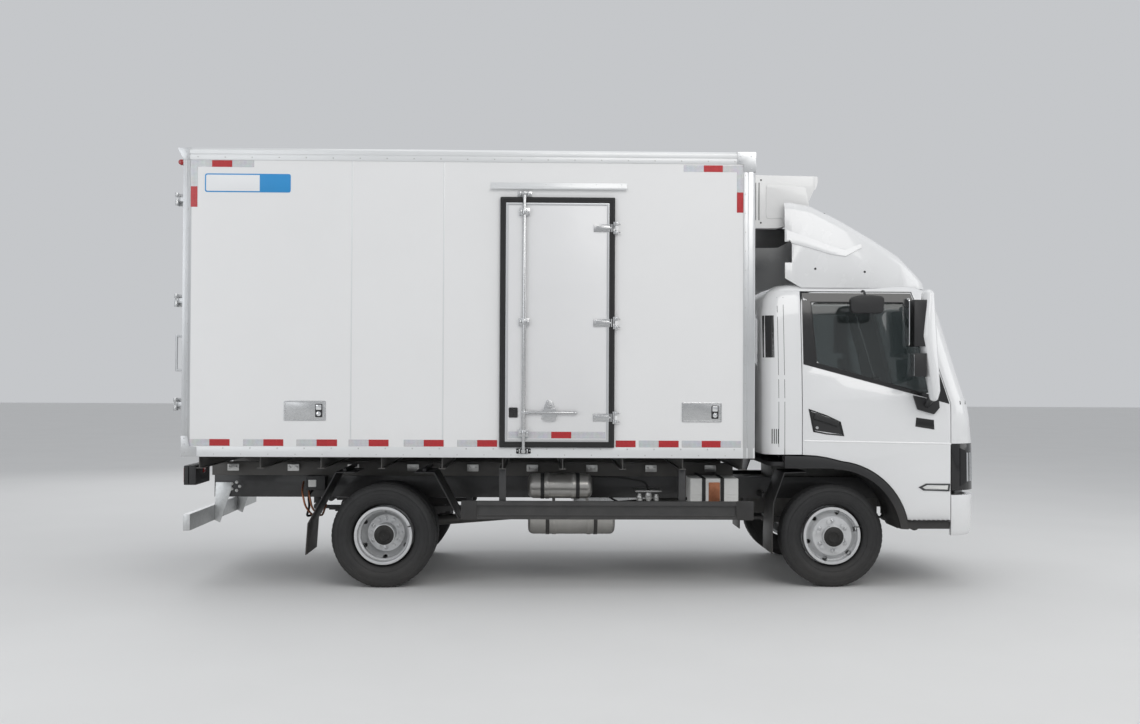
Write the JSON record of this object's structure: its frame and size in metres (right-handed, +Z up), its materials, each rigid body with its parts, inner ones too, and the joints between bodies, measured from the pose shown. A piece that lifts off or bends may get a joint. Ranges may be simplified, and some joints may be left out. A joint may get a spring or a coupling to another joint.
{
  "type": "refrigerated truck",
  "caption": "Light cab-over refrigerated truck with an insulated box body, a roof air deflector, twin rear wheels, a side door and two rear doors.",
  "frame": {"origin": "on the ground below the middle of the overall length, on the centre plane", "axes": "+X towards the truck's front, +Y to its left, +Z up"},
  "size_m": [5.995, 2.5476, 3.229],
  "materials": {
    "chassis_frame": "satin black paint",
    "subframe": "satin grey paint",
    "leaf_springs": "dull black paint",
    "front_axle": "black painted casting",
    "rear_axle": "black painted casting",
    "drivetrain": "dull casting",
    "fuel_tank": "brushed",
    "air_tanks": "dusty silver paint",
    "battery_box": "light grey paint",
    "silencer": "heat-stained steel",
    "side_guards": "satin black paint",
    "mudguards": "dull black",
    "rear_underrun": "galvanised",
    "tail_lamps": "clear red lens",
    "box_floor": "satin",
    "box_wall_left": "smooth white composite skin",
    "box_wall_right": "smooth white composite skin",
    "box_front_wall": "smooth white composite skin",
    "box_roof": "smooth white composite skin",
    "box_rear_frame": "satin",
    "refrigeration_unit": "gloss white",
    "cab_floor": "satin black",
    "cab_roof": "gloss white paint",
    "cab_rear_panel": "gloss white paint",
    "cab_front_panel": "gloss white paint",
    "cab_glass": "tinted clear",
    "headlamps": "dark lens",
    "front_bumper": "gloss white paint",
    "roof_fairing": "gloss white moulding",
    "seats": "woven dark grey",
    "dashboard": "grained dark grey",
    "cab_door_right": "gloss white paint",
    "cab_door_left": "gloss white paint",
    "door_glass_right": "tinted clear",
    "door_glass_left": "tinted clear",
    "mirror_right": "satin",
    "mirror_left": "satin",
    "mirror_shell_right": "gloss white paint",
    "mirror_shell_left": "gloss white paint",
    "side_door": "smooth white composite skin",
    "side_door_hardware": "satin stainless",
    "rear_door_right": "smooth white composite skin",
    "rear_door_left": "smooth white composite skin",
    "rear_hardware_right": "satin stainless",
    "rear_hardware_left": "satin stainless",
    "knuckle_right": "black painted casting",
    "knuckle_left": "black painted casting",
    "tyre_front_right": "black rubber",
    "tyre_front_left": "black rubber",
    "rim_front_right": "silver paint",
    "rim_front_left": "silver paint",
    "tyres_rear_right": "black rubber",
    "tyres_rear_left": "black rubber",
    "rims_rear_right": "silver paint",
    "rims_rear_left": "silver paint"
  },
  "bodies": {
    "chassis": {"chassis_frame": "chassis_frame", "subframe": "subframe", "leaf_springs": "leaf_springs", "front_axle": "front_axle", "rear_axle": "rear_axle", "drivetrain": "drivetrain", "fuel_tank": "fuel_tank", "air_tanks": "air_tanks", "battery_box": "battery_box", "silencer": "silencer", "side_guards": "side_guards", "mudguards": "mudguards", "rear_underrun": "rear_underrun", "tail_lamps": "tail_lamps", "box_floor": "box_floor", "box_wall_left": "box_wall_left", "box_wall_right": "box_wall_right", "box_front_wall": "box_front_wall", "box_roof": "box_roof", "box_rear_frame": "box_rear_frame", "refrigeration_unit": "refrigeration_unit"},
    "cab": {"cab_floor": "cab_floor", "cab_roof": "cab_roof", "cab_rear_panel": "cab_rear_panel", "cab_front_panel": "cab_front_panel", "cab_glass": "cab_glass", "headlamps": "headlamps", "front_bumper": "front_bumper", "roof_fairing": "roof_fairing", "seats": "seats", "dashboard": "dashboard"},
    "cab_door_right": {"cab_door_right": "cab_door_right", "door_glass_right": "door_glass_right", "mirror_right": "mirror_right", "mirror_shell_right": "mirror_shell_right"},
    "cab_door_left": {"cab_door_left": "cab_door_left", "door_glass_left": "door_glass_left", "mirror_left": "mirror_left", "mirror_shell_left": "mirror_shell_left"},
    "side_door": {"side_door": "side_door", "side_door_hardware": "side_door_hardware"},
    "rear_door_right": {"rear_door_right": "rear_door_right", "rear_hardware_right": "rear_hardware_right"},
    "rear_door_left": {"rear_door_left": "rear_door_left", "rear_hardware_left": "rear_hardware_left"},
    "knuckle_right": {"knuckle_right": "knuckle_right"},
    "knuckle_left": {"knuckle_left": "knuckle_left"},
    "wheel_front_right": {"tyre_front_right": "tyre_front_right", "rim_front_right": "rim_front_right"},
    "wheel_front_left": {"tyre_front_left": "tyre_front_left", "rim_front_left": "rim_front_left"},
    "wheels_rear_right": {"tyres_rear_right": "tyres_rear_right", "rims_rear_right": "rims_rear_right"},
    "wheels_rear_left": {"tyres_rear_left": "tyres_rear_left", "rims_rear_left": "rims_rear_left"}
  },
  "joints": [
    {"name": "cab_tilt", "type": "hinge", "parent": "chassis", "child": "cab", "pos_m": [2.8275, 0, 0.48], "axis": [0, 1, 0], "range_deg": [0, 45]},
    {"name": "cab_door_right_hinge", "type": "hinge", "parent": "cab", "child": "cab_door_right", "pos_m": [2.7375, -0.976, 1.285], "axis": [0, 0, 1], "range_deg": [0, 70]},
    {"name": "cab_door_left_hinge", "type": "hinge", "parent": "cab", "child": "cab_door_left", "pos_m": [2.7375, 0.976, 1.285], "axis": [0, 0, -1], "range_deg": [0, 70]},
    {"name": "side_door_hinge", "type": "hinge", "parent": "chassis", "child": "side_door", "pos_m": [0.2215, -1.161, 1.981], "axis": [0, 0, 1], "range_deg": [0, 170]},
    {"name": "rear_door_right_hinge", "type": "hinge", "parent": "chassis", "child": "rear_door_right", "pos_m": [-2.9825, -1.138, 1.981], "axis": [0, 0, 1], "range_deg": [0, 240]},
    {"name": "rear_door_left_hinge", "type": "hinge", "parent": "chassis", "child": "rear_door_left", "pos_m": [-2.9825, 1.138, 1.981], "axis": [0, 0, -1], "range_deg": [0, 240]},
    {"name": "steer_right", "type": "hinge", "parent": "chassis", "child": "knuckle_right", "pos_m": [1.8675, -0.7355, 0.385], "axis": [0, 0, 1], "range_deg": [-35, 35]},
    {"name": "steer_left", "type": "hinge", "parent": "chassis", "child": "knuckle_left", "pos_m": [1.8675, 0.7355, 0.385], "axis": [0, 0, 1], "range_deg": [-35, 35]},
    {"name": "wheel_front_right_spin", "type": "hinge", "parent": "knuckle_right", "child": "wheel_front_right", "pos_m": [1.8675, -0.8325, 0.385], "axis": [0, 1, 0], "continuous": true},
    {"name": "wheel_front_left_spin", "type": "hinge", "parent": "knuckle_left", "child": "wheel_front_left", "pos_m": [1.8675, 0.8325, 0.385], "axis": [0, 1, 0], "continuous": true},
    {"name": "wheels_rear_right_spin", "type": "hinge", "parent": "chassis", "child": "wheels_rear_right", "pos_m": [-1.4925, -0.7625, 0.385], "axis": [0, 1, 0], "continuous": true},
    {"name": "wheels_rear_left_spin", "type": "hinge", "parent": "chassis", "child": "wheels_rear_left", "pos_m": [-1.4925, 0.7625, 0.385], "axis": [0, 1, 0], "continuous": true}
  ],
  "couplings": [
    {"joint": "steer_left", "follows": "steer_right", "ratio": 1}
  ]
}
